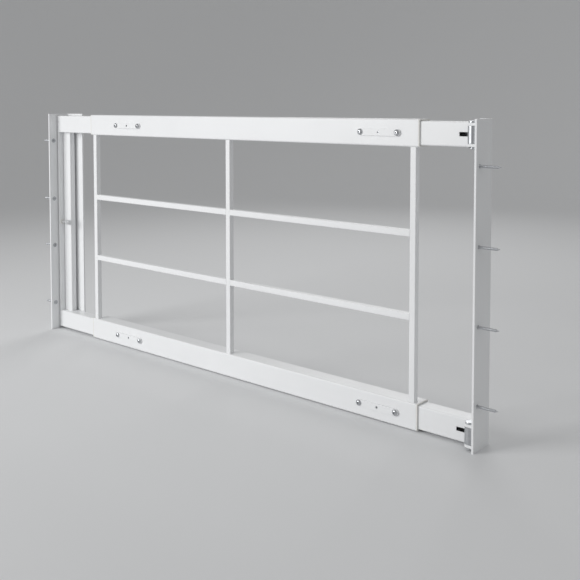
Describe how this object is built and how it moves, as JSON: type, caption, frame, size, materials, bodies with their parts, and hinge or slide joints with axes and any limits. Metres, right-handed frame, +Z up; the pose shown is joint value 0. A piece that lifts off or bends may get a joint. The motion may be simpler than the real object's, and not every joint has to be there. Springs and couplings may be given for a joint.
{
  "type": "window security bar",
  "caption": "Telescopic window security grille: a welded bar panel on sliding arms clamped to the window's width, hinged at its right wall bracket and bolted at its left.",
  "frame": {"origin": "on the left jamb's face, at mid height, on the vertical line of the left wall screws", "axes": "+X across the window towards the right jamb, +Y towards the glass, +Z up"},
  "size_m": [1.064, 0.048, 0.458],
  "materials": {
    "powder_coated_sleeve": "white semi-gloss powder coat",
    "powder_coated_arm": "white semi-gloss powder coat",
    "powder_coated_bar": "white semi-gloss powder coat",
    "powder_coated_bracket": "white semi-gloss powder coat",
    "powder_coated_plate": "white semi-gloss powder coat",
    "zinc_plated_screw": "bright zinc plating",
    "zinc_plated_steel": "dull zinc plating",
    "bright_steel_bolt": "turned and polished steel",
    "white_nylon": "moulded white nylon"
  },
  "bodies": {
    "left_bracket": {"left_wall_bracket": "powder_coated_bracket", "left_wall_screws": "zinc_plated_screw"},
    "right_bracket": {"right_wall_bracket": "powder_coated_bracket", "right_wall_screws": "zinc_plated_screw", "hinge_lugs": "powder_coated_bracket", "hinge_pins": "zinc_plated_steel", "pin_clips": "zinc_plated_steel"},
    "right_arms": {"upper_right_arm": "powder_coated_arm", "lower_right_arm": "powder_coated_arm", "upper_right_glide": "white_nylon", "lower_right_glide": "white_nylon", "upper_hinge_tongue": "zinc_plated_steel", "lower_hinge_tongue": "zinc_plated_steel", "hinge_screws": "zinc_plated_screw", "hinge_washers": "zinc_plated_screw"},
    "centre_panel": {"top_sleeve": "powder_coated_sleeve", "bottom_sleeve": "powder_coated_sleeve", "left_upright": "powder_coated_bar", "middle_upright": "powder_coated_bar", "right_upright": "powder_coated_bar", "upper_left_crossbar": "powder_coated_bar", "upper_right_crossbar": "powder_coated_bar", "lower_left_crossbar": "powder_coated_bar", "lower_right_crossbar": "powder_coated_bar", "top_left_guide": "white_nylon", "top_right_guide": "white_nylon", "bottom_left_guide": "white_nylon", "bottom_right_guide": "white_nylon", "top_left_clamp_plate": "powder_coated_plate", "top_right_clamp_plate": "powder_coated_plate", "bottom_left_clamp_plate": "powder_coated_plate", "bottom_right_clamp_plate": "powder_coated_plate", "top_left_nut_plate": "zinc_plated_steel", "top_right_nut_plate": "zinc_plated_steel", "bottom_left_nut_plate": "zinc_plated_steel", "bottom_right_nut_plate": "zinc_plated_steel", "clamp_screws": "zinc_plated_screw", "lock_screws": "zinc_plated_screw"},
    "left_arms": {"upper_left_arm": "powder_coated_arm", "lower_left_arm": "powder_coated_arm", "left_end_plate": "powder_coated_bracket", "left_post": "powder_coated_bar", "upper_left_glide": "white_nylon", "lower_left_glide": "white_nylon", "bolt_bush": "white_nylon"},
    "lock_bolt": {"lock_bolt": "bright_steel_bolt", "lock_knob": "bright_steel_bolt"}
  },
  "joints": [
    {"name": "window_width", "type": "slide", "parent": "left_bracket", "child": "right_bracket", "axis": [1, 0, 0], "range_m": [-0.06, 0.16]},
    {"name": "grille_swing", "type": "hinge", "parent": "right_bracket", "child": "right_arms", "pos_m": [0.989, 0, 0], "axis": [0, 0, 1], "range_deg": [0, 110]},
    {"name": "right_extension", "type": "slide", "parent": "right_arms", "child": "centre_panel", "axis": [-1, 0, 0], "range_m": [-0.03, 0.08]},
    {"name": "left_extension", "type": "slide", "parent": "centre_panel", "child": "left_arms", "axis": [-1, 0, 0], "range_m": [-0.03, 0.08]},
    {"name": "lock_bolt_throw", "type": "slide", "parent": "left_arms", "child": "lock_bolt", "axis": [1, 0, 0], "range_m": [-0.012, 0]}
  ],
  "couplings": [
    {"joint": "right_extension", "follows": "window_width", "ratio": 0.5},
    {"joint": "left_extension", "follows": "window_width", "ratio": 0.5}
  ]
}
